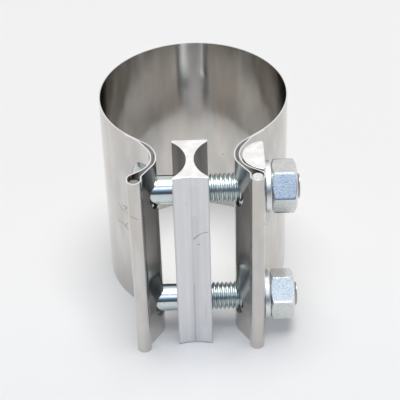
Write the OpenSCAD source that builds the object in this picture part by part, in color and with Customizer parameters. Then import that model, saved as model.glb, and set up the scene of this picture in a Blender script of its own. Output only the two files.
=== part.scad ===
// Wide-band exhaust pipe clamp with folded loops, an I-shaped block and two bolts.
// Millimetres. The pipe's axis is +Z and the clamp stands on z = 0.
// The gap of the band faces -Y, and the bolts run along X with the nuts towards +X.

/* [Band] */
// Outside radius of the round body, as it stands sprung open
band_r = 33.4; // [28:0.1:60]
// Height of the strip along the pipe
band_h = 76.2; // [62:0.1:120]
// Thickness of the strip
sheet_t = 0.45; // [0.35:0.05:0.6]

/* [Loop walls] */
// Distance from the outside of the band to the plane of the bolts
bolt_out = 4.35; // [3.5:0.05:7]
// Clear width between the two loops
throat_w = 25.7; // [22:0.1:32]
// Straight length between the round body and the wall's bend
leave_len = 6.1; // [4:0.1:8]
// Bend radius of the wall in front of the bolts, at mid thickness
wall_front_r = 8.4; // [7.8:0.1:9]

/* [Return ply] */
// Spacing of the two plies at the bolts, from mid thickness to mid thickness
ply_step = 1.65; // [1.3:0.05:1.9]
// Bend radius of the return ply in front of the bolts
ply_front_r = 8.6; // [8.2:0.1:9]
// Amount by which the return ply is bent tighter than the wall behind the bolts
ply_nest = 1.5; // [1.2:0.1:1.8]
// Bend radius where the return ply comes to lie on the band
lap_r = 8; // [5:0.5:9]
// Distance from the wall's bend to the start of the welded lap
lap_start = 3.6; // [3.2:0.1:4.2]
// Length of the welded lap
lap_len = 5; // [3:0.1:5.2]
// Depth by which the lap is pressed into the band at the weld
weld_bite = 0.05; // [0.03:0.01:0.1]

/* [Beads] */
// Distance from the throat's wall out to the middle of the bead
bead_out = 7.35; // [7:0.05:7.7]
// Distance from the bolts forward to the middle of the bead
bead_ahead = 11.65; // [11.4:0.05:12.4]
// Extra length of the bead towards the back
bead_stretch = 0.66; // [0.3:0.02:0.9]
// Bend radius of the neck between wall and bead
neck_r = 1.8; // [1.3:0.1:2.2]
// Angle by which the neck is tucked in behind the bead
neck_tuck = 9; // [4:1:14]
// Straight length between neck and bead
neck_len = 0.5; // [0.2:0.1:1]

/* [Rods] */
// Diameter of the rods in the beads
rod_d = 4.1; // [3.4:0.1:4.4]
// Length by which the rods are cut shorter than the strip is high
rod_short = 1.3; // [1.3:0.1:3]
// Clearance all round a rod
rod_clear = 0.06; // [0.05:0.01:0.15]
// Height by which the right rod has slid up
rod_slip = 1.2; // [0:0.05:1.3]

/* [Block] */
// Width of the block along the bolts
block_w = 12.1; // [10:0.1:14]
// Depth of the block
block_d = 21.6; // [20:0.1:22]
// Length by which the block is cut shorter than the strip is high
block_short = 1.3; // [0.6:0.1:3]
// Thickness of the web between the hollows
web_t = 2.6; // [2:0.1:4]
// Radius of the hollows that take the loop walls
hollow_r = 12.3; // [11.8:0.1:14]
// Depth of the curve across the front face
face_sag = 0.9; // [0.3:0.1:1.2]
// Height of the block's foot above the ground
block_lift = 0.25; // [0.1:0.05:0.4]
// Place of the block along the bolts, from the middle of the gap
block_x = -1.8; // [-6:0.1:6]
// Width and depth of the die line down the front face
die_line = 0.2; // [0.2:0.05:0.5]

/* [Bar] */
// Radius of the half-round bar
bar_r = 7.9; // [7:0.1:8.2]
// Thickness of the bar from its flat to its crown
bar_t = 7.3; // [6.5:0.1:7.8]
// Length by which the bar is cut shorter than the strip is high
bar_short = 0.2; // [0.1:0.1:2]
// Width of the flat that takes off each corner of the bar
bar_corner = 1; // [0.4:0.1:1.6]
// Clearance between the bar's crown and the return ply
bar_gap = 0.75; // [0.4:0.05:0.9]

/* [Bolts] */
// Diameter of the bolts
bolt_d = 9.8; // [8:0.1:10]
// Distance from each edge of the strip to the middle of a bolt
bolt_edge = 13.5; // [12:0.1:16]
// Length of bolt that stands out of the nut
bolt_proud = 1.05; // [0.5:0.05:6]
// Chamfer at the bolt's end
tip_chamfer = 1; // [0.5:0.1:1.5]
// Radius of the half-round head
head_r = 6.6; // [6.2:0.1:7]
// Thickness of the head from its flat to its crown
head_t = 6.3; // [4.8:0.1:6.5]
// Height of the head
head_h = 16; // [12:0.1:17]
// Chamfer round the head's two ends
head_chamfer = 1.6; // [0.6:0.1:1.8]
// Clearance between the head's crown and the return ply
head_gap = 0.15; // [0.1:0.05:0.4]

/* [Holes] */
// Clearance all round a bolt in the outer ply
wall_hole_clear = 1.7; // [1:0.1:2.4]
// Clearance all round a bolt in the return ply
ply_hole_clear = 1.1; // [0.6:0.1:1.6]
// Clearance all round a bolt in the block and the bar
bore_clear = 0.6; // [0.45:0.05:0.9]

/* [Nuts and washers] */
// Width of a nut across its flats
nut_af = 16; // [15:0.5:17]
// Height of a nut
nut_h = 8.6; // [7:0.1:11]
// Turn of the upper nut, as the slope of its front flat
nut_turn_upper = 36.6; // [0:0.1:60]
// Turn of the lower nut, as the slope of its front flat
nut_turn_lower = 51.2; // [0:0.1:60]
// Running clearance all round the bolt in the nut
nut_clear = 0.05; // [0.02:0.01:0.1]
// Outside diameter of a washer
washer_d = 18; // [16:0.5:21]
// Thickness of a washer
washer_t = 2.2; // [1:0.1:2.5]
// Clearance all round the bolt in the washer
washer_clear = 0.35; // [0.2:0.05:0.5]

/* [Hidden] */
$fn = 96;
over = 1;

// The strip is drawn along its middle line, and headings are degrees counted from +X.
function along(h) = [cos(h), sin(h)];
function left_of(h) = [-sin(h), cos(h)];
function reach(a, b) = norm(b - a);
function bearing(a, b) = atan2(b[1] - a[1], b[0] - a[0]);

// A straight that leaves a right bend and enters a left bend, or the other way round.
function cross_len(a, b, r_sum) = sqrt(pow(reach(a, b), 2) - r_sum * r_sum);
function right_to_left(a, b, r_sum) = bearing(a, b) - atan2(r_sum, cross_len(a, b, r_sum));
function left_to_right(a, b, r_sum) = bearing(a, b) + atan2(r_sum, cross_len(a, b, r_sum));
// A straight between two left bends.
function left_to_left(a, b, r_step) = bearing(a, b) - atan2(r_step, cross_len(a, b, r_step));

// Lengths cut to suit the strip.
rod_len = band_h - rod_short;
block_h = band_h - block_short;
bar_len = band_h - bar_short;

// Band body and wall of the left loop.
mid_r = band_r - sheet_t / 2;
bolt_y = band_r + bolt_out;
wall_x = throat_w / 2 + sheet_t / 2;
centre = [0, 0];
// The wall's bend behind the bolts is the one that leaves the body by that straight length.
wall_back_r = (wall_x * wall_x + bolt_y * bolt_y - leave_len * leave_len - mid_r * mid_r)
    / (2 * (mid_r - wall_x));
wall_back = [-(wall_x + wall_back_r), -bolt_y];
wall_front = [-(wall_x + wall_front_r), -bolt_y];
leave_sum = mid_r + wall_back_r;
leave_dir = left_to_right(centre, wall_back, leave_sum);
leave_from = -mid_r * left_of(leave_dir);
leave_to = leave_from + leave_len * along(leave_dir);
gap_half = -leave_dir;

// Bead of the left loop.
bead_r = rod_d / 2 + rod_clear + sheet_t / 2;
bead = [-(throat_w / 2 + bead_out), -(bolt_y + bead_ahead)];
bead_rear = bead + [0, bead_stretch];
tuck_dir = -90 + neck_tuck;
neck_end = bead + bead_r * left_of(tuck_dir) - neck_len * along(tuck_dir);
neck = neck_end + neck_r * left_of(tuck_dir);
neck_sum = wall_front_r + neck_r;
neck_run = cross_len(wall_front, neck, neck_sum);
neck_dir = right_to_left(wall_front, neck, neck_sum);

// Return ply of the left loop.
ply_back_r = wall_back_r - ply_nest;
ply_x = wall_x + ply_step;
ply_face = ply_x + sheet_t / 2;
ply_front = [-(ply_x + ply_front_r), -bolt_y];
ply_back = [-(ply_x + ply_back_r), -bolt_y];
ply_sum = bead_r + ply_front_r;
ply_run = cross_len(bead_rear, ply_front, ply_sum);
ply_dir = right_to_left(bead_rear, ply_front, ply_sum);
lap_dir = leave_dir + 180;
lap_from = leave_to + lap_start * along(lap_dir) - (sheet_t - weld_bite) * left_of(leave_dir);
lap_bend = lap_from + lap_r * left_of(lap_dir);
rise_len = cross_len(ply_back, lap_bend, lap_r - ply_back_r);
rise_dir = left_to_left(ply_back, lap_bend, lap_r - ply_back_r);

// Places along the bolts, from the heads to the ends.
bolt_low = bolt_edge;
bolt_up = band_h - bolt_edge;
head_crown = -(ply_face + head_gap);
head_flat = head_crown - head_t;
bar_crown = ply_face + bar_gap;
bar_flat = bar_crown + bar_t;
bar_half = sqrt(bar_r * bar_r - pow(bar_r - bar_t, 2));
nut_x = bar_flat + washer_t;
bolt_end = nut_x + nut_h + bolt_proud;

// Seams of the strip, and round edges of the small parts.
seam_step = 0.005;
seam_reach = 0.02;
rod_chamfer = 0.3;
washer_chamfer = 0.3;
nut_slope = 30;
face_r = (block_w * block_w / 4 + face_sag * face_sag) / (2 * face_sag);

// Part of a ring between two directions from its middle, counted anticlockwise.
module bend(mid, r, first, last)
    translate(mid) {
        far = 2 * r;
        half = (first + last) / 2;
        difference() {
            circle(r + sheet_t / 2);
            circle(r - sheet_t / 2);
            if (last - first > 180)
                polygon([[0, 0], far * along(last), -far * along(half), far * along(first)]);
            else
                polygon([
                    [0, 0], far * along(first), -far * left_of(half), -far * along(half),
                    far * left_of(half), far * along(last)
                ]);
        }
    }

// Bends to the left and to the right, from one heading to the next.
module left_bend(mid, r, from, to) bend(mid, r, from - 90, to - 90);
module right_bend(mid, r, from, to) bend(mid, r, to + 90, from + 90);

// A straight is a hair thinner than the bends and reaches a little way into them.
module straight(start, heading, len)
    translate(start) rotate(heading) translate([-seam_reach, seam_step - sheet_t / 2])
        square([len + 2 * seam_reach, sheet_t - 2 * seam_step]);

module bolt_holes(clear, from_x, to_x)
    for (z = [bolt_low, bolt_up])
        translate([from_x, -bolt_y, z]) rotate([0, 90, 0])
            cylinder(d = bolt_d + 2 * clear, h = to_x - from_x);

// The wall of a loop, its neck and its bead: the strip from the band to the bead's far side.
module loop_outer() {
    straight(leave_from, leave_dir, leave_len);
    right_bend(wall_back, wall_back_r, leave_dir, -90);
    right_bend(wall_front, wall_front_r, -90, neck_dir);
    straight(wall_front + wall_front_r * left_of(neck_dir), neck_dir, neck_run);
    left_bend(neck, neck_r, neck_dir, tuck_dir);
    straight(neck_end, tuck_dir, neck_len);
    right_bend(bead, bead_r, tuck_dir, -270);
    straight(bead - [bead_r, 0], 90, bead_stretch);
    right_bend(bead_rear, bead_r, -270, ply_dir - 360);
}

// The return ply: from the bead back inside the wall to the welded lap on the band.
module loop_return() {
    straight(bead_rear + bead_r * left_of(ply_dir), ply_dir, ply_run);
    left_bend(ply_front, ply_front_r, ply_dir, 90);
    left_bend(ply_back, ply_back_r, 90, rise_dir);
    straight(ply_back - ply_back_r * left_of(rise_dir), rise_dir, rise_len);
    left_bend(lap_bend, lap_r, rise_dir, lap_dir);
    straight(lap_from, lap_dir, lap_len);
}

// One strip from lap to lap, with wider bolt holes in the walls than in the return plies.
module band()
    color([0.78, 0.77, 0.75]) {
        difference() {
            linear_extrude(band_h) {
                bend(centre, mid_r, gap_half - 90, 270 - gap_half);
                loop_outer();
                mirror([1, 0]) loop_outer();
            }
            bolt_holes(wall_hole_clear, -bolt_y, bolt_y);
        }
        difference() {
            linear_extrude(band_h) {
                loop_return();
                mirror([1, 0]) loop_return();
            }
            bolt_holes(ply_hole_clear, -bolt_y, bolt_y);
        }
    }

// A bar with a small chamfer at both ends.
module chamfered_rod(r, len, chamfer)
    rotate_extrude() polygon([
        [0, 0], [r - chamfer, 0], [r, chamfer],
        [r, len - chamfer], [r - chamfer, len], [0, len]
    ]);

module rod(side, lift)
    color([0.62, 0.62, 0.62])
        translate([-side * bead[0], bead[1], lift]) chamfered_rod(rod_d / 2, rod_len, rod_chamfer);

// The block stands with its web on the bolts, and both hollows face the loop walls.
module i_block()
    color([0.84, 0.84, 0.86]) translate([block_x, -bolt_y, block_lift]) difference() {
        translate([-block_w / 2, -block_d / 2, 0]) cube([block_w, block_d, block_h]);
        for (side = [-1, 1])
            translate([side * (web_t / 2 + hollow_r), 0, -over])
                cylinder(r = hollow_r, h = block_h + 2 * over, $fn = 160);
        translate([0, -block_d / 2 + face_sag - face_r, -over])
            cylinder(r = face_r, h = block_h + 2 * over, $fn = 240);
        translate([0, -block_d / 2 + face_sag, -over]) rotate([0, 0, 45])
            translate([-die_line / 2, -die_line / 2, 0])
                cube([die_line, die_line, block_h + 2 * over]);
        for (z = [bolt_low, bolt_up])
            translate([-block_w, 0, z - block_lift]) rotate([0, 90, 0])
                cylinder(d = bolt_d + 2 * bore_clear, h = 2 * block_w);
    }

// Half-round bar: its crown faces the loop wall and its flat takes the washers.
module d_bar()
    color([0.9, 0.9, 0.9]) difference() {
        translate([bar_crown + bar_r, -bolt_y, 0]) cylinder(r = bar_r, h = bar_len);
        translate([bar_flat, -bolt_y - bar_r - over, -over])
            cube([2 * bar_r, 2 * (bar_r + over), bar_len + 2 * over]);
        for (side = [-1, 1])
            translate([bar_flat, side * bar_half - bolt_y, -over]) rotate([0, 0, 45])
                translate([-bar_corner / 2, -bar_corner / 2, 0])
                    cube([bar_corner, bar_corner, bar_len + 2 * over]);
        bolt_holes(bore_clear, 0, bar_flat + over);
    }

// Half-round head that seats in the hollow of the left loop and cannot turn there.
module bolt_head()
    difference() {
        translate([head_crown - head_r, 0, -head_h / 2])
            chamfered_rod(head_r, head_h, head_chamfer);
        translate([head_flat - 2 * head_r, -head_r - over, -head_h / 2 - over])
            cube([2 * head_r, 2 * (head_r + over), head_h + 2 * over]);
    }

module bolt(z)
    color([0.8, 0.84, 0.86]) translate([0, -bolt_y, z]) {
        bolt_head();
        translate([head_flat + head_t / 2, 0, 0]) rotate([0, 90, 0])
            rotate_extrude() polygon([
                [0, 0], [bolt_d / 2, 0],
                [bolt_d / 2, bolt_end - head_flat - head_t / 2 - tip_chamfer],
                [bolt_d / 2 - tip_chamfer, bolt_end - head_flat - head_t / 2],
                [0, bolt_end - head_flat - head_t / 2]
            ]);
    }

module washer(z)
    color([0.82, 0.85, 0.86]) translate([bar_flat, -bolt_y, z]) rotate([0, 90, 0])
        difference() {
            rotate_extrude() polygon([
                [0, 0], [washer_d / 2, 0], [washer_d / 2, washer_t - washer_chamfer],
                [washer_d / 2 - washer_chamfer, washer_t], [0, washer_t]
            ]);
            translate([0, 0, -over])
                cylinder(d = bolt_d + 2 * washer_clear, h = washer_t + 2 * over);
        }

// Hexagon nut: the flats are cut back by a cone at each face, as on a turned nut.
module nut(z, slope) {
    corner_r = nut_af / sqrt(3);
    cone_r = nut_af / 2 * 0.97;
    cone_h = (corner_r + over - cone_r) * tan(nut_slope);
    color([0.74, 0.8, 0.88]) translate([nut_x, -bolt_y, z]) rotate([0, 90, 0])
        difference() {
            intersection() {
                rotate([0, 0, -slope]) cylinder(r = corner_r, h = nut_h, $fn = 6);
                rotate_extrude() polygon([
                    [0, 0], [cone_r, 0], [corner_r + over, cone_h],
                    [corner_r + over, nut_h - cone_h], [cone_r, nut_h], [0, nut_h]
                ]);
            }
            translate([0, 0, -over])
                cylinder(d = bolt_d + 2 * nut_clear, h = nut_h + 2 * over);
        }
}

band();
rod(-1, 0);  // rod_left
rod(1, rod_slip);  // rod_right
i_block();
d_bar();
bolt(bolt_up);  // bolt_upper
bolt(bolt_low);  // bolt_lower
washer(bolt_up);  // washer_upper
washer(bolt_low);  // washer_lower
nut(bolt_up, nut_turn_upper);  // nut_upper
nut(bolt_low, nut_turn_lower);  // nut_lower
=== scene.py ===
# %% [markdown]
# # An exhaust pipe clamp, dressed for a product picture
#
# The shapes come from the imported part: one folded stainless strip, a hollow-sided aluminium
# block, a half-round bar, two rods and the bolts. This script keeps those that already have
# their true form and gives them a metal finish. The bolts, nuts and washers are made again,
# because their threads and rolled edges are too fine for the plain solids.

import bmesh
import bpy
import numpy as np
from mathutils import Matrix, Vector


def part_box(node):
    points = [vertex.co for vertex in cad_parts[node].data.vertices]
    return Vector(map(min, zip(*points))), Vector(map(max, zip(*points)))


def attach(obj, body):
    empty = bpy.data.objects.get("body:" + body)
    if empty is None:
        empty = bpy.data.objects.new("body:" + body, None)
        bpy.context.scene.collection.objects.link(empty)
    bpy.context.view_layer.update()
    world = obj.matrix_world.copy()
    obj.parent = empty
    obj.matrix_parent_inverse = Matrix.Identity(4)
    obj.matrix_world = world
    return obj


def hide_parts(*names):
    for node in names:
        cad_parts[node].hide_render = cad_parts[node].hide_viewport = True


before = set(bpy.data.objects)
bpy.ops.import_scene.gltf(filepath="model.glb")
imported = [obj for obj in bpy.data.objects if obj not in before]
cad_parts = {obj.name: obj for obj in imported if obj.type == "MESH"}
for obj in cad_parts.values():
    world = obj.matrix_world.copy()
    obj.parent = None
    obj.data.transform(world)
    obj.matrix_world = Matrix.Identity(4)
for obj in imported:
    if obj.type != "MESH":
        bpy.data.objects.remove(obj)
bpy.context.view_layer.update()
scene = bpy.context.scene

# %% [markdown]
# ## The camera
#
# The photo was taken from in front of the gap, about 38 degrees above the table, with the
# camera tipped a little to one side. A camera can be turned by hand until the picture fits,
# but here its place was worked out from the ellipse of the rim and the ends of the beads, so
# the numbers are simply typed in. The turn is built from three directions: where the camera
# looks, what is level for it, and the small tilt.

# %% Camera
camera_place = Vector((-0.00017, -0.39476, 0.34207))
camera_aim = Vector((0.00131, -0.010, 0.03559))
camera_tilt = -1.741

look = (camera_aim - camera_place).normalized()
level = look.cross(Vector((0, 0, 1))).normalized()
turn = Matrix((level, level.cross(look), -look)).transposed()
turn = turn @ Matrix.Rotation(np.radians(camera_tilt), 3, "Z")

lens = bpy.data.cameras.new("photo_camera")
lens.sensor_width = 36
lens.lens = 120.86
camera = bpy.data.objects.new("photo_camera", lens)
camera.matrix_world = Matrix.Translation(camera_place) @ turn.to_4x4()
scene.collection.objects.link(camera)
scene.camera = camera
scene.view_settings.view_transform = "Standard"
print("camera looks down", round(float(np.degrees(np.arcsin(-look.z))), 1), "degrees")


# %% [markdown]
# ## Small helpers for nodes
#
# Every material here is a handful of nodes joined by links. Writing each link in full makes
# the recipe hard to read, so a short helper makes a node, sets its plain values and joins
# whatever other nodes are handed to it.

# %% Node helpers
def add_node(tree, kind, inputs=None, **settings):
    """A node of that kind, with its settings and its inputs, which are values or other sockets."""
    node = tree.nodes.new(kind)
    for name, value in settings.items():
        setattr(node, name, value)
    for name, value in (inputs or {}).items():
        socket = node.inputs[name]
        if isinstance(value, bpy.types.NodeSocket):
            tree.links.new(value, socket)
        else:
            socket.default_value = value
    return node


def maths(tree, operation, a, b=0.0, c=0.0):
    """One Math node: operation on a, b and c."""
    return add_node(tree, "ShaderNodeMath", {0: a, 1: b, 2: c}, operation=operation).outputs[0]


def vector_maths(tree, operation, a, b=(0, 0, 0)):
    """One Vector Math node that gives a vector: operation on a and b."""
    return add_node(tree, "ShaderNodeVectorMath", {0: a, 1: b}, operation=operation).outputs["Vector"]


def scaled(tree, vector, factor):
    """The vector times a number."""
    node = add_node(tree, "ShaderNodeVectorMath", {0: vector, "Scale": factor}, operation="SCALE")
    return node.outputs["Vector"]


def length_of(tree, vector):
    """The length of a vector."""
    return add_node(tree, "ShaderNodeVectorMath", {0: vector}, operation="LENGTH").outputs["Value"]


def part_of(tree, vector, axis):
    """The X, Y or Z of a vector."""
    return add_node(tree, "ShaderNodeSeparateXYZ", {0: vector}).outputs[axis]


def between(tree, value, low, high):
    """0 below low and 1 above high, with a soft step between; low may be the larger one."""
    node = add_node(tree, "ShaderNodeMapRange", {"Value": value, "From Min": low, "From Max": high},
                    interpolation_type="SMOOTHSTEP")
    return node.outputs["Result"]


def spread(tree, value, low, high):
    """low where value is 0 and high where it is 1, in a straight line."""
    node = add_node(tree, "ShaderNodeMapRange", {"Value": value, "To Min": low, "To Max": high})
    return node.outputs["Result"]


def mixed(tree, factor, a, b):
    """Colour a where factor is 0 and colour b where it is 1."""
    node = add_node(tree, "ShaderNodeMix", data_type="RGBA")
    # A Mix node has a set of sockets for each type of data; 6 and 7 are its two colours.
    for index, value in ((0, factor), (6, a), (7, b)):
        if isinstance(value, bpy.types.NodeSocket):
            tree.links.new(value, node.inputs[index])
        else:
            node.inputs[index].default_value = value if index == 0 else (*value, 1)
    return node.outputs[2]


# %% [markdown]
# ## Table and light
#
# A product like this is photographed on a pale table, between boards and under one large
# softbox. Polished metal shows its surrounding and little else, so the boards are painted on
# the world by direction, and each colour stands where a face of the clamp mirrors it into the
# camera. The back board is pale, because every flat top mirrors it. The sides are nearly
# black, because white ones made the walls of the gap shine. The room in front is dark low
# down, which draws the dark stripe along each bolt. Above that it is blue, then white from
# about 40 degrees up, with a pale blue band near 60 degrees, which the nuts mirror.
#
# That painted room is for reflections. Diffuse rays, which light the table, get a plainer and
# weaker tint, so that each of the two can be set without the other. The table glows a little
# for the camera and for metal that mirrors it, which keeps the shadows under the bolts pale.

# %% World: the light tent by direction
# The room in front: each colour with the height z of its direction.
front_room = [(0.0, (0.025, 0.03, 0.045)), (0.16, (0.035, 0.045, 0.07)), (0.32, (0.07, 0.085, 0.13)),
              (0.46, (0.13, 0.165, 0.25)), (0.54, (0.27, 0.34, 0.49)), (0.60, (0.35, 0.44, 0.62)),
              (0.66, (0.85, 0.93, 1.0)), (0.72, (1.0, 1.0, 1.0)), (0.82, (1.0, 1.0, 1.0)),
              (0.845, (0.42, 0.50, 0.63)), (0.93, (0.42, 0.50, 0.63)), (0.955, (1.0, 1.0, 1.0))]
strength_for_metal, strength_for_table = 1.70, 0.46


def seen_rays(tree):
    """1 for rays from the camera and from mirroring metal, 0 for the diffuse rays that give light."""
    path = add_node(tree, "ShaderNodeLightPath").outputs
    return maths(tree, "MAXIMUM", path["Is Camera Ray"], path["Is Glossy Ray"])


def light_tent():
    """World colour from the direction d: dark, white overhead, a pale board where d.y is large,
    and the ramp front_room on d.z where -d.y is large. Diffuse rays find plain tints there."""
    world = bpy.data.worlds.new("light_tent")
    world.use_nodes = True
    tree = world.node_tree
    tree.nodes.clear()
    where = add_node(tree, "ShaderNodeTexCoord").outputs["Generated"]
    axis = add_node(tree, "ShaderNodeSeparateXYZ", {0: where}).outputs
    height = add_node(tree, "ShaderNodeValToRGB", {"Fac": axis["Z"]})
    ramp = height.color_ramp
    while len(ramp.elements) < len(front_room):
        ramp.elements.new(0.5)
    for element, (place, colour) in zip(ramp.elements, front_room):
        element.position, element.color = place, (*colour, 1)
    front = between(tree, maths(tree, "MULTIPLY", axis["Y"], -1), 0.12, 0.40)
    back = between(tree, axis["Y"], 0.10, 0.30)
    overhead = between(tree, axis["Z"], 0.80, 0.92)
    seen = seen_rays(tree)
    back_tone = mixed(tree, seen, (0.64, 0.56, 0.46), (0.50, 0.50, 0.50))
    front_tone = mixed(tree, seen, (0.62, 0.74, 0.96), height.outputs["Color"])
    tent = mixed(tree, back, (0.09, 0.09, 0.09), back_tone)
    tent = mixed(tree, overhead, tent, (1.0, 1.0, 1.0))
    tent = mixed(tree, front, tent, front_tone)
    strength = spread(tree, seen, strength_for_table, strength_for_metal)
    background = add_node(tree, "ShaderNodeBackground", {"Color": tent, "Strength": strength})
    out = add_node(tree, "ShaderNodeOutputWorld")
    tree.links.new(background.outputs[0], out.inputs[0])
    return world


scene.world = light_tent()
print("nodes in the world:", len(scene.world.node_tree.nodes))


# %% Table top
def table_top(size, glow):
    """A square of that size in the plane z = 0, pale and matt; glow is the share of its own light
    that camera and mirror rays get."""
    mesh = bpy.data.meshes.new("table_top")
    h = size / 2
    mesh.from_pydata([(-h, -h, 0), (h, -h, 0), (h, h, 0), (-h, h, 0)], [], [(0, 1, 2, 3)])
    top = bpy.data.objects.new("table_top", mesh)
    scene.collection.objects.link(top)
    paint = bpy.data.materials.new("table_white")
    paint.use_nodes = True
    tree = paint.node_tree
    shader = tree.nodes["Principled BSDF"]
    shader.inputs["Base Color"].default_value = (0.93, 0.93, 0.925, 1)
    shader.inputs["Roughness"].default_value = 0.7
    shader.inputs["Specular IOR Level"].default_value = 0.2
    light = add_node(tree, "ShaderNodeEmission", {"Color": (0.91, 0.925, 0.955, 1), "Strength": 1.0})
    share = maths(tree, "MULTIPLY", seen_rays(tree), glow)
    surface = add_node(tree, "ShaderNodeMixShader", {0: share, 1: shader.outputs[0], 2: light.outputs[0]})
    tree.links.new(surface.outputs[0], tree.nodes["Material Output"].inputs["Surface"])
    mesh.materials.append(paint)
    return top


table = table_top(6.0, 0.15)
print("table", [round(side, 1) for side in table.dimensions], "m")


# %% Soft lamp over the table
def soft_lamp(name, place, target, size, watts):
    """A square area lamp at place that faces target, a touch warmer than white."""
    light = bpy.data.lights.new(name, "AREA")
    light.size, light.energy = size, watts
    light.color = (1.0, 0.99, 0.975)
    lamp = bpy.data.objects.new(name, light)
    lamp.location = place
    lamp.rotation_euler = (Vector(target) - Vector(place)).to_track_quat("-Z", "Y").to_euler()
    scene.collection.objects.link(lamp)
    return lamp


soft_lamp("top_softbox", (0.12, 0.07, 3.0), (0, 0, 0.04), 1.6, 64.0)


# %% [markdown]
# ## Metal finishes
#
# Bare metal in a path tracer is a Principled shader with Metallic at 1: its colour is the
# colour of its reflections, and Roughness says how blurred they are. What makes it look real
# is how these change over the surface. Each finish reads Object coordinates, which are metres
# here and become millimetres at once, so that a noise can be given the size of its patches.

# %% Pieces of a finish
def new_finish(name):
    """An empty material: its tree, its shader and its Object coordinates in millimetres."""
    finish = bpy.data.materials.new(name)
    finish.use_nodes = True
    tree = finish.node_tree
    shader = tree.nodes["Principled BSDF"]
    shader.inputs["Metallic"].default_value = 1
    place = add_node(tree, "ShaderNodeTexCoord").outputs["Object"]
    return finish, tree, shader, scaled(tree, place, 1000.0)


def stretched_noise(tree, mm, stretch, detail=3.0):
    """Noise whose patches are stretch millimetres long in x, y and z."""
    squeezed = vector_maths(tree, "MULTIPLY", mm, [1 / s for s in stretch])
    noise = add_node(tree, "ShaderNodeTexNoise", {"Vector": squeezed, "Scale": 1.0, "Detail": detail})
    return noise.outputs["Fac"]


def bumped(tree, height, strength, distance, normal=None):
    """A bump from a height in 0 to 1; distance is the height's depth in metres."""
    inputs = {"Height": height, "Strength": strength, "Distance": distance}
    if normal is not None:
        inputs["Normal"] = normal
    return add_node(tree, "ShaderNodeBump", inputs).outputs[0]


def flat_ends(tree):
    """1 on faces that look up or down and 0 on upright ones, from the z of the normal."""
    normal = add_node(tree, "ShaderNodeNewGeometry").outputs["Normal"]
    return between(tree, maths(tree, "ABSOLUTE", part_of(tree, normal, "Z")), 0.8, 0.95)


# %% [markdown]
# ### Marks in their places
#
# Noise spreads marks evenly, but a scratch that the photo shows in one place has to be put
# there, and so does a line of painted shade. An image texture could do it. Here each mark is a
# line between points, and a point of the surface is marked when it is near the line. All marked
# faces are upright and round, so a mark needs only the x and z of its points: the face's circle
# gives their y.

# %% Scratches and lines of painted shade on round faces
def on_round(points, centre_x, centre_y, radius, side):
    """Points (x, z) put on an upright round face: y = centre_y + side * sqrt(radius^2 - (x -
    centre_x)^2), where side is -1 for the front half of the circle and 1 for its rear half."""
    return [(x, centre_y + side * np.sqrt(radius**2 - (x - centre_x)**2), z) for x, z in points]


def near_line(tree, mm, start, end, width):
    """1 on the line from start to end, fading to 0 at width: distance from a point to a segment."""
    along = np.subtract(end, start)
    length = float(np.linalg.norm(along))
    along = list(along / length)
    arm = vector_maths(tree, "SUBTRACT", mm, list(start))
    travel = add_node(tree, "ShaderNodeVectorMath", {0: arm, 1: along}, operation="DOT_PRODUCT")
    travel = add_node(tree, "ShaderNodeClamp",
                      {"Value": travel.outputs["Value"], "Min": 0.0, "Max": length}).outputs[0]
    nearest = scaled(tree, along, travel)
    far = length_of(tree, vector_maths(tree, "SUBTRACT", arm, nearest))
    return between(tree, far, width, 0.25 * width)


def line_marks(tree, mm, marks):
    """The deepest mark at each point. A mark is its face, its points, its width and its depth."""
    whole = 0.0
    for face, points, width, deep in marks:
        placed = on_round(points, *face)
        for start, end in zip(placed, placed[1:]):
            mark = maths(tree, "MULTIPLY", near_line(tree, mm, start, end, width), deep)
            whole = maths(tree, "MAXIMUM", whole, mark)
    return whole


# %% [markdown]
# ### Polished stainless strip
#
# The strip comes bright off the roll. Its reflections are sharp up close but smeared a little
# along the pipe, and slow waves in the sheet pull them about. A faint grain runs up the strip,
# and its grey turns brownish in long streaks. The sheared edges that face up and down are
# brighter and duller than the polished faces.
#
# Three things are only in some places. There are handling scratches beside and on the left
# bead, and a speck on the right bead and on the far wall. Inside the band near the gap the
# strip carries painted shade, a darker tone, which shows on the far wall, because that mirrors
# it. Between the two plies of each fold light goes back and forth in a slot so narrow that it
# renders black, though it looks grey on the real clamp. There an ambient occlusion node, which
# measures how closed in a point is, makes the metal paler and duller.

# %% Stainless finish
body_r, strip_thick = 33.4, 0.45
bead_x, bead_y, bead_r = 20.2, -49.4, 2.56
outside = (0, 0, body_r, -1)
far_inside = (0, 0, body_r - strip_thick, 1)
left_bead, right_bead = (-bead_x, bead_y, bead_r, -1), (bead_x, bead_y, bead_r, -1)
strip_marks = [(outside, [(-27.74, 41.96), (-26.98, 41.01), (-26.00, 40.71)], 0.35, 0.75),
               (outside, [(-26.25, 42.77), (-24.68, 43.22), (-25.50, 41.73)], 0.35, 0.75),
               (outside, [(-25.32, 41.06), (-24.13, 40.24)], 0.25, 0.75),
               (outside, [(-28.83, 33.11), (-27.01, 34.02)], 0.25, 0.75),
               (outside, [(-27.01, 34.02), (-25.66, 33.56), (-24.92, 32.93)], 0.40, 0.75),
               (outside, [(-25.13, 35.69), (-25.66, 33.56)], 0.40, 0.75),
               (left_bead, [(-21.94, 62.69), (-20.77, 62.29), (-19.49, 61.57)], 0.25, 0.75),
               (right_bead, [(22.25, 57.28), (22.32, 56.93)], 0.45, 0.75),
               (far_inside, [(10.86, 25.63), (11.25, 25.67)], 0.35, 0.75)]


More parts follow.
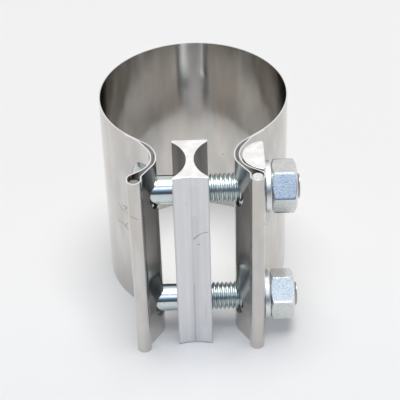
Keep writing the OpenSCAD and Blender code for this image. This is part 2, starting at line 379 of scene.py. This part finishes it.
def stainless():
    """Grey-brown metal; roughness and bump from noise drawn out along z, scratches, bright edges,
    painted shade darkening the inner front, and paler slots between the plies."""
    finish, tree, shader, mm = new_finish("polished_stainless")
    grain = stretched_noise(tree, mm, (0.5, 0.5, 30), 4)
    smear = stretched_noise(tree, mm, (6, 6, 14), 2)
    wave = stretched_noise(tree, mm, (9, 9, 60), 1)
    brown = stretched_noise(tree, mm, (5, 5, 45), 2)
    tone = mixed(tree, between(tree, smear, 0.34, 0.66), (0.555, 0.540, 0.520), (0.635, 0.620, 0.600))
    brown = maths(tree, "MULTIPLY", between(tree, brown, 0.50, 0.66), 0.7)
    tone = mixed(tree, brown, tone, (0.590, 0.550, 0.505))

    radius = length_of(tree, vector_maths(tree, "MULTIPLY", mm, (1, 1, 0)))
    y = part_of(tree, mm, "Y")
    inner = between(tree, radius, body_r - 0.1, body_r - 0.3)
    # Painted shade: the inside of the band is darkened towards the gap, and the far wall mirrors it.
    inner_front_painted_shade = maths(tree, "MULTIPLY", inner, between(tree, y, 8.0, -8.0))
    tone = mixed(tree, inner_front_painted_shade, tone, (0.465, 0.442, 0.415))
    tone = mixed(tree, line_marks(tree, mm, strip_marks), tone, (0.26, 0.24, 0.22))
    sheared = flat_ends(tree)
    tone = mixed(tree, sheared, tone, (0.80, 0.79, 0.78))

    # The slots between the plies are closed in within 4 mm, and lie behind the beads.
    closed = add_node(tree, "ShaderNodeAmbientOcclusion", {"Distance": 0.004}, samples=6, only_local=True)
    slot = between(tree, closed.outputs["AO"], 0.75, 0.25)
    slot = maths(tree, "MULTIPLY", slot, between(tree, y, -50.0, -43.0))
    tone = mixed(tree, slot, tone, (0.90, 0.89, 0.88))

    rough = spread(tree, grain, 0.09, 0.16)
    rough = maths(tree, "MULTIPLY_ADD", sheared, 0.25, rough)
    rough = maths(tree, "MULTIPLY_ADD", slot, 0.40, rough)
    tree.links.new(maths(tree, "MULTIPLY_ADD", slot, -0.6, 1.0), shader.inputs["Metallic"])
    tree.links.new(tone, shader.inputs["Base Color"])
    tree.links.new(rough, shader.inputs["Roughness"])
    slow = bumped(tree, wave, 0.22, 0.0006)
    tree.links.new(bumped(tree, grain, 0.08, 0.0001, slow), shader.inputs["Normal"])
    return finish


# %% [markdown]
# ### Extruded aluminium
#
# The block and the bar were pushed through a die, which leaves fine straight lines along them,
# worn away in places, and sawn to length, which leaves bright, mottled ends. The block's front
# is the face that one looks at, so it has marks of its own: dark lines of painted shade along
# its side edges and a painted shadow along its foot, a die line that darkens towards the foot,
# broad stripes of painted shade down the middle, a short curved scratch and a few nicks. The
# face is slightly hollow. Its circle comes from the block's box and the depth of the hollow.

# %% Aluminium finish
block_low, block_high = (1000 * np.array(corner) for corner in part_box("i_block"))
left, right, foot = block_low[0], block_high[0], block_low[2]
hollow_depth = 0.9
hollow_r = (((right - left) / 2)**2 + hollow_depth**2) / (2 * hollow_depth)
block_front = ((left + right) / 2, block_low[1] + hollow_depth - hollow_r, hollow_r, 1)
print("block's front: hollow radius", round(hollow_r, 2), "mm, middle at x", round(block_front[0], 2))

# Each mark: its points (x, z), its width and its depth.
curved_scratch = [([(-1.30, 48.82), (-1.00, 49.21)], 0.42, 1.0),
                  ([(-1.16, 49.07), (0.16, 50.42)], 0.28, 1.0),
                  ([(0.16, 50.42), (1.63, 51.44)], 0.24, 0.9),
                  ([(1.63, 51.44), (2.55, 51.98)], 0.24, 0.8),
                  ([(2.55, 51.98), (3.45, 52.08)], 0.28, 0.8)]
nicks = [([(0.25, 46.43), (0.50, 46.38)], 0.45, 0.8), ([(-3.60, 63.93), (-3.00, 63.88)], 0.30, 0.25),
         ([(-0.20, 58.64), (-1.80, 58.48)], 0.40, 0.18), ([(-1.80, 55.20), (-1.40, 55.60)], 0.50, 0.20),
         ([(-1.30, 52.60), (-1.20, 53.00)], 0.45, 0.20), ([(1.90, 20.0), (1.95, 11.0)], 0.30, 0.22),
         ([(2.60, 17.0), (2.30, 14.5)], 0.40, 0.20)]
# Painted shade: dark lines down both side edges of the front, and a painted shadow along its foot.
painted_edge_shade = [([(left, 0.3), (left, 75.0)], 0.60, 0.40), ([(right, 0.3), (right, 75.0)], 0.60, 0.40),
                ([(left, foot), (-4.80, foot), (1.20, foot), (right, foot)], 0.80, 0.55)]
die_line = [([(-1.75, 28.0), (-1.95, 0.4)], 0.55, 0.42), ([(-1.75, 60.0), (-1.80, 36.0)], 0.35, 0.10)]
# Painted shade: broad darker stripes down the middle of the hollow front.
painted_shade_stripes = [([(-0.60, 70.0), (-0.80, 56.0)], 2.40, 0.07), ([(-0.80, 57.0), (-1.70, 1.0)], 2.40, 0.19),
               ([(1.20, 60.0), (1.20, 10.0)], 3.20, 0.08)]
block_marks_and_shade = [(block_front, *mark)
               for mark in curved_scratch + nicks + painted_edge_shade + die_line + painted_shade_stripes]


def aluminium(name, tone_low, tone_high, marks=()):
    """Pale metal, rougher than the strip, with die lines drawn out along z and brighter ends."""
    finish, tree, shader, mm = new_finish(name)
    die = stretched_noise(tree, mm, (0.9, 0.9, 150), 5)
    cloud = stretched_noise(tree, mm, (3, 3, 9), 3)
    worn = between(tree, stretched_noise(tree, mm, (2, 2, 20), 2), 0.38, 0.62)
    streak = maths(tree, "MULTIPLY", between(tree, die, 0.34, 0.66),
                   maths(tree, "MULTIPLY_ADD", worn, 0.35, 0.12))
    tone = mixed(tree, maths(tree, "MULTIPLY_ADD", cloud, 0.35, streak), tone_low, tone_high)
    if marks:
        # The marks darken the tone: the scratches and nicks are real, and the edge lines, foot line and
        # stripes are painted shade.
        tone = mixed(tree, line_marks(tree, mm, marks), tone, (0.30, 0.30, 0.31))
    sawn = mixed(tree, between(tree, cloud, 0.35, 0.65), (0.82, 0.815, 0.81), (0.91, 0.905, 0.90))
    tone = mixed(tree, flat_ends(tree), tone, sawn)
    tree.links.new(tone, shader.inputs["Base Color"])
    tree.links.new(spread(tree, cloud, 0.34, 0.46), shader.inputs["Roughness"])
    edge = add_node(tree, "ShaderNodeBevel", {"Radius": 0.00028}, samples=6).outputs[0]
    tree.links.new(bumped(tree, die, 0.14, 0.0001, edge), shader.inputs["Normal"])
    return finish


# %% [markdown]
# ### Bright zinc plate
#
# The bolts, nuts and washers are zinc-plated and passivated, which gives a cold blue-white with
# a hint of green. The plate follows every pit of the forging below it, so the flats of the nuts
# are speckled. Along a rolled thread it is rougher, and the bolt's cut end is bare steel.

# %% Zinc finish
def zinc(name, pitted, roughness, tones, rolled=None):
    """Cold white metal; pitted is the strength of the speckle that forging leaves. rolled holds
    the x where a thread starts and the x where its bare cut end starts."""
    finish, tree, shader, mm = new_finish(name)
    cloud = stretched_noise(tree, mm, (3.5, 3.5, 3.5), 2)
    pits = stretched_noise(tree, mm, (0.5, 0.5, 0.5), 3)
    fine = stretched_noise(tree, mm, (0.45, 0.45, 0.45), 2)
    tone = mixed(tree, between(tree, cloud, 0.35, 0.65), *tones)
    specks = maths(tree, "MULTIPLY", between(tree, fine, 0.57, 0.68), 2.5 * pitted)
    tone = mixed(tree, specks, tone, (0.30, 0.32, 0.34))
    rough = spread(tree, pits, *roughness)
    if rolled:
        x = part_of(tree, mm, "X")
        thread_start, cut_start = rolled
        thread = between(tree, x, thread_start - 0.3, thread_start + 0.3)
        rough = maths(tree, "MULTIPLY_ADD", thread, 0.13, rough)
        tone = mixed(tree, between(tree, x, cut_start - 0.3, cut_start), tone, (0.36, 0.34, 0.35))
    tree.links.new(tone, shader.inputs["Base Color"])
    tree.links.new(rough, shader.inputs["Roughness"])
    tree.links.new(bumped(tree, pits, pitted, 0.00012), shader.inputs["Normal"])
    return finish


# %% [markdown]
# ### Sheared wire
#
# Only the ends of the two rods show. They were sheared, so they are dull, with a torn texture.
# They are one wire in two copies: the left one lies a little deeper in its bead and carries
# painted shade, so it is darker, and the right one is painted lighter, as lit.

# %% Rod finish
def wire(name, tone_low, tone_high):
    """Metal with a torn, uneven surface: tone_low to tone_high by noise."""
    finish, tree, shader, mm = new_finish(name)
    torn = stretched_noise(tree, mm, (0.7, 0.35, 0.7), 4)
    tree.links.new(mixed(tree, torn, tone_low, tone_high), shader.inputs["Base Color"])
    shader.inputs["Roughness"].default_value = 0.38
    tree.links.new(bumped(tree, torn, 0.4, 0.0002), shader.inputs["Normal"])
    return finish


# %% Put the finishes on the CAD pieces that keep their shape
finishes = {
    "band": stainless(),
    "i_block": aluminium("block_aluminium", (0.70, 0.70, 0.72), (0.80, 0.80, 0.82), block_marks_and_shade),
    "d_bar": aluminium("bar_aluminium", (0.72, 0.72, 0.73), (0.82, 0.82, 0.83)),
    # The two rods are one wire: the left copy is painted darker as shade, the right one lighter as lit.
    "rod_left": wire("wire_painted_shaded", (0.22, 0.22, 0.21), (0.42, 0.42, 0.41)),
    "rod_right": wire("wire_painted_lit", (0.55, 0.55, 0.54), (0.93, 0.92, 0.91)),
}
for node_name, finish in finishes.items():
    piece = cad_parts[node_name]
    piece.data.materials.clear()
    piece.data.materials.append(finish)
    print(node_name, "has", finish.name, "with", len(finish.node_tree.nodes), "nodes")


# %% [markdown]
# ## Making a mesh from a grid of points
#
# The bolts and nuts are worked out as grids: one index runs round the axis, the other along
# the profile. All the points are computed at once with numpy. A bar joins the last column of
# its grid to the first and gets a fan over each end. A ring joins up both ways, so that it has
# a hole. Then points that fell on top of each other are merged and the faces turned outwards.

# %% Grid to mesh
def grid_faces(rows, columns, row_steps):
    """Four corner indexes for each face of the first row_steps rows; the last column and the last
    row are followed by the first ones."""
    row, column = np.meshgrid(np.arange(row_steps), np.arange(columns), indexing="ij")
    below, after = (row + 1) % rows, (column + 1) % columns
    return np.stack([row * columns + column, row * columns + after,
                     below * columns + after, below * columns + column], -1).reshape(-1, 4).tolist()


def metal_piece(name, corners, faces, finish, sharp_degrees):
    """An object at the origin with that mesh and finish, shaded smooth up to the sharp angle."""
    mesh = bpy.data.meshes.new(name)
    mesh.from_pydata(corners.tolist(), [], faces)
    work = bmesh.new()
    work.from_mesh(mesh)
    bmesh.ops.remove_doubles(work, verts=work.verts, dist=2e-6)
    bmesh.ops.recalc_face_normals(work, faces=work.faces)
    work.to_mesh(mesh)
    work.free()
    mesh.polygons.foreach_set("use_smooth", np.ones(len(mesh.polygons), bool))
    mesh.set_sharp_from_angle(angle=np.radians(sharp_degrees))
    mesh.materials.append(finish)
    piece = bpy.data.objects.new(name, mesh)
    scene.collection.objects.link(piece)
    return piece


def bar_piece(name, points, finish, sharp_degrees):
    """A closed bar from points[row, column]: columns go round, and each end row gets a fan."""
    rows, columns, _ = points.shape
    middles = np.array([points[0].mean(axis=0), points[-1].mean(axis=0)])
    ring = np.arange(columns)
    after = (ring + 1) % columns
    last = (rows - 1) * columns
    first_fan = np.stack([after, ring, np.full(columns, rows * columns)], -1).tolist()
    last_fan = np.stack([last + ring, last + after, np.full(columns, rows * columns + 1)], -1).tolist()
    corners = np.concatenate([points.reshape(-1, 3), middles])
    faces = grid_faces(rows, columns, rows - 1) + first_fan + last_fan
    return metal_piece(name, corners, faces, finish, sharp_degrees)


def ring_piece(name, points, finish, sharp_degrees):
    """A closed ring from points[row, column]: columns go round, and the rows come back too."""
    rows, columns, _ = points.shape
    faces = grid_faces(rows, columns, rows)
    return metal_piece(name, points.reshape(-1, 3), faces, finish, sharp_degrees)


# %% [markdown]
# ## The bolts
#
# Each bolt is one bar: a half-round head that lies in the left loop, a plain shank, and a
# rolled M10 thread of 1.5 mm pitch. A thread is a ridge that climbs as it goes round. If the
# rows of the grid climb with it, the crests and roots stay crisp with few faces, so each row is
# sheared along the axis by one pitch a turn. The end is cut by a cone, as a real one is
# chamfered before rolling.

# %% Bolt sizes from the CAD solids
head_thick, shank_r, pitch, thread_from = 6.3, 4.9, 1.5, -1.0
bolt_low_corner, bolt_high_corner = (1000 * np.array(corner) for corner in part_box("bolt_upper"))
head_low, bolt_end = bolt_low_corner[0], bolt_high_corner[0]
head_high = head_low + head_thick
head_tall = bolt_high_corner[2] - bolt_low_corner[2]
axis_y = (bolt_low_corner[1] + bolt_high_corner[1]) / 2
zinc_plate = zinc("zinc_plate", 0.10, (0.12, 0.20), ((0.58, 0.65, 0.66), (0.64, 0.70, 0.69)),
                  rolled=(thread_from, bolt_end - 1.4))
print("bolt from", round(head_low, 2), "to", round(bolt_end, 2), "mm, axis at y", round(axis_y, 2))


# %% Bolt shank and thread
def shank_points(start, end, columns=96):
    """Rows x = s + pitch * turn, clamped to the bar; radius is the thread profile at s, faded in
    at its start and cut by the end's 45 degree cone."""
    turn = np.arange(columns) / columns
    # One turn of the profile: how far along its points lie, and how deep they are cut.
    step = np.array([0, 0.10, 0.28, 0.44, 0.56, 0.72, 0.90]) * pitch
    depth = np.array([0, 0, 0.32, 0.92, 0.92, 0.32, 0])
    crest_r, chamfer = shank_r - 0.02, 0.95
    turns = int(np.ceil((end - thread_from) / pitch)) + 1
    s = (thread_from - pitch + pitch * np.arange(turns)[:, None] + step).ravel()
    cut = np.tile(depth, turns)
    x = np.clip(s[:, None] + pitch * turn, thread_from, end)
    fade = np.clip((x - thread_from) / (2 * pitch), 0, 1)
    r = crest_r - cut[:, None] * fade
    r = np.minimum(r, shank_r - chamfer + (end - x))
    plain_x = np.array([start, thread_from - 0.01])[:, None] + 0 * turn
    x, r = np.vstack([plain_x, x]), np.vstack([0 * plain_x + shank_r, r])
    angle = 2 * np.pi * turn
    return np.stack([x, r * np.cos(angle), r * np.sin(angle)], -1)


# %% [markdown]
# The head follows the round wall of the loop on one side and is flat on the other. It was
# forged, so its corners are round, most of all on the flat side, which looks like a pillow. A
# bevel gives every edge one radius. Here the outline is first shrunk and then grown again by
# an egg, whose width and rise are larger where the corners are rounder.

# %% Bolt head: a half-round outline grown by an egg
small_egg, large_egg = np.array([1.0, 0.8]), np.array([2.6, 3.6])


def head_points(low, high, height, radius=6.6, arc_columns=41, flat_columns=31):
    """The D outline shrunk, then grown again by an egg, whose width and rise swell from small_egg
    on the round side to large_egg at the middle of the flat side."""
    centre = high - radius
    back = low + large_egg[0]
    inner_r = radius - small_egg[0]
    reach = np.arccos((back - centre) / inner_r)
    arc = np.linspace(-reach, reach, arc_columns)
    round_side = np.stack([centre + inner_r * np.cos(arc), inner_r * np.sin(arc)], -1)
    swing = np.linspace(reach, 2 * np.pi - reach, flat_columns)
    side = np.where(swing < np.pi, 1, -1)
    flat_side = np.stack([np.full(flat_columns, back), side * inner_r * np.sin(reach)], -1)
    flat_side[flat_columns // 2, 1] = 0
    outline = np.vstack([round_side, flat_side])
    way = np.concatenate([arc, swing])
    way = np.stack([np.cos(way), np.sin(way)], -1)
    near = np.clip((np.minimum(swing, 2 * np.pi - swing) - reach) / (np.pi - reach), 0, 1)
    swell = np.concatenate([0 * arc, near * near * (3 - 2 * near)])
    width, rise = small_egg[:, None] + (large_egg - small_egg)[:, None] * swell
    tip = np.radians([-90, -75, -55, -35, -15, 0, 0, 15, 35, 55, 75, 90])[:, None]
    lift = np.repeat([-1, 1], 6)[:, None] * (height / 2 - rise) + rise * np.sin(tip)
    xy = outline[None] + (width * np.cos(tip))[..., None] * way[None]
    return np.concatenate([xy, lift[..., None]], -1)


# %% Join head and shank into one bolt at each height
def bolt(name, z):
    """Head and shank as one object: the shank starts inside the head, so no seam shows."""
    place = np.array([0, axis_y, z])
    shank_grid = (shank_points(head_high - 2.5, bolt_end) + place) / 1000
    head_grid = (head_points(head_low, head_high, head_tall) + place) / 1000
    shank = bar_piece(name, shank_grid, zinc_plate, 35)
    head = bar_piece(name + "_head", head_grid, zinc_plate, 35)
    work = bmesh.new()
    work.from_mesh(shank.data)
    work.from_mesh(head.data)
    work.to_mesh(shank.data)
    work.free()
    bpy.data.objects.remove(head)
    shank.data.set_sharp_from_angle(angle=np.radians(35))
    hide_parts(name.replace("threaded_", ""))
    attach(shank, "clamp_frame")
    print(name, len(shank.data.polygons), "faces")
    return shank


for level_name in ("upper", "lower"):
    low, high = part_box("bolt_" + level_name)
    bolt("threaded_bolt_" + level_name, 500 * (low[2] + high[2]))


# %% [markdown]
# ## Nuts and washers
#
# A hexagon nut is a six-sided bar whose faces were turned to a cone, which leaves a curved edge
# on every flat. Round the axis, the distance to the flat is the half width divided by the
# cosine of the angle from the middle of that flat. The cone meets the flat where their radii
# agree, and the grid has a row exactly there, so the curved edge is sharp. The columns start
# at the middle of a flat, so that one also falls on each corner.

# %% Nut
def nut_points(x0, height, across, slope, columns=144):
    """Rows: bore mouth, face, cone edge, flat edge, and the same at the far side; the flat's
    radius is (across / 2) / cos(angle from its middle), softened at the six corners. The cone
    starts at 94 % of the half width and falls away by 30 degrees."""
    angle = np.radians(slope) + 2 * np.pi * np.arange(columns) / columns
    off = (np.degrees(angle) - slope + 30) % 60 - 30
    flat = np.minimum(across / 2 / np.cos(np.radians(off)), across / np.sqrt(3) - 0.05)
    cone_r = 0.94 * across / 2
    run = (flat - cone_r) * np.tan(np.radians(30))
    bore_r = shank_r + 0.05
    near = [(1.2, bore_r), (0.7, bore_r + 0.02), (0, bore_r + 0.50), (0, cone_r - 0.12), (0.05, cone_r),
            (run, flat - 0.06), (run + 0.12, flat), (run + 0.30, flat)]
    rows = near + [(height - x, r) for x, r in reversed(near)]
    x = np.array([x0 + x + 0 * angle for x, _ in rows])
    r = np.array([r + 0 * angle for _, r in rows])
    # The angle is counted from -Y towards +Z, which is how the slope of a flat is given.
    return np.stack([x, -r * np.cos(angle), r * np.sin(angle)], -1)


# %% Washer
def washer_points(x0, thick, outer_r, inner_r, columns=96):
    """A flat ring with both outer edges rounded and both edges of the hole broken by 0.1 mm."""
    angle = 2 * np.pi * np.arange(columns) / columns
    x = np.array([0, 0, 0.12, 0.40, thick - 0.40, thick - 0.12, thick, thick, thick - 0.1, 0.1])
    r = np.array([inner_r + 0.1, outer_r - 0.45, outer_r - 0.15, outer_r, outer_r, outer_r - 0.15,
                  outer_r - 0.45, inner_r + 0.1, inner_r, inner_r])
    x, r = (x0 + x)[:, None] + 0 * angle, r[:, None] + 0 * angle
    return np.stack([x, -r * np.cos(angle), r * np.sin(angle)], -1)


# %% A nut and a washer on each bolt
nut_across, washer_r, washer_hole_r = 16.0, 9.0, 5.25
zinc_forged = zinc("zinc_forged", 0.24, (0.09, 0.20), ((0.70, 0.73, 0.72), (0.75, 0.77, 0.75)))
zinc_punched = zinc("zinc_punched", 0.15, (0.30, 0.42), ((0.76, 0.79, 0.78), (0.82, 0.83, 0.82)))
# The slope of one flat, in degrees up from facing the front: each nut stopped at another turn.
for level_name, slope in (("upper", 36.6), ("lower", 51.2)):
    low, high = (1000 * np.array(corner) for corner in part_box("nut_" + level_name))
    place = np.array([0, axis_y, (low[2] + high[2]) / 2])
    points = nut_points(low[0], high[0] - low[0], nut_across, slope) + place
    nut = ring_piece("chamfered_nut_" + level_name, points / 1000, zinc_forged, 28)
    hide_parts("nut_" + level_name)
    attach(nut, level_name + "_nut")
    low, high = (1000 * np.array(corner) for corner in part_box("washer_" + level_name))
    points = washer_points(low[0], high[0] - low[0], washer_r, washer_hole_r) + place
    washer = ring_piece("punched_washer_" + level_name, points / 1000, zinc_punched, 28)
    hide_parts("washer_" + level_name)
    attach(washer, level_name + "_washer")
    print(level_name, "nut", len(nut.data.polygons), "faces, washer", len(washer.data.polygons), "faces")
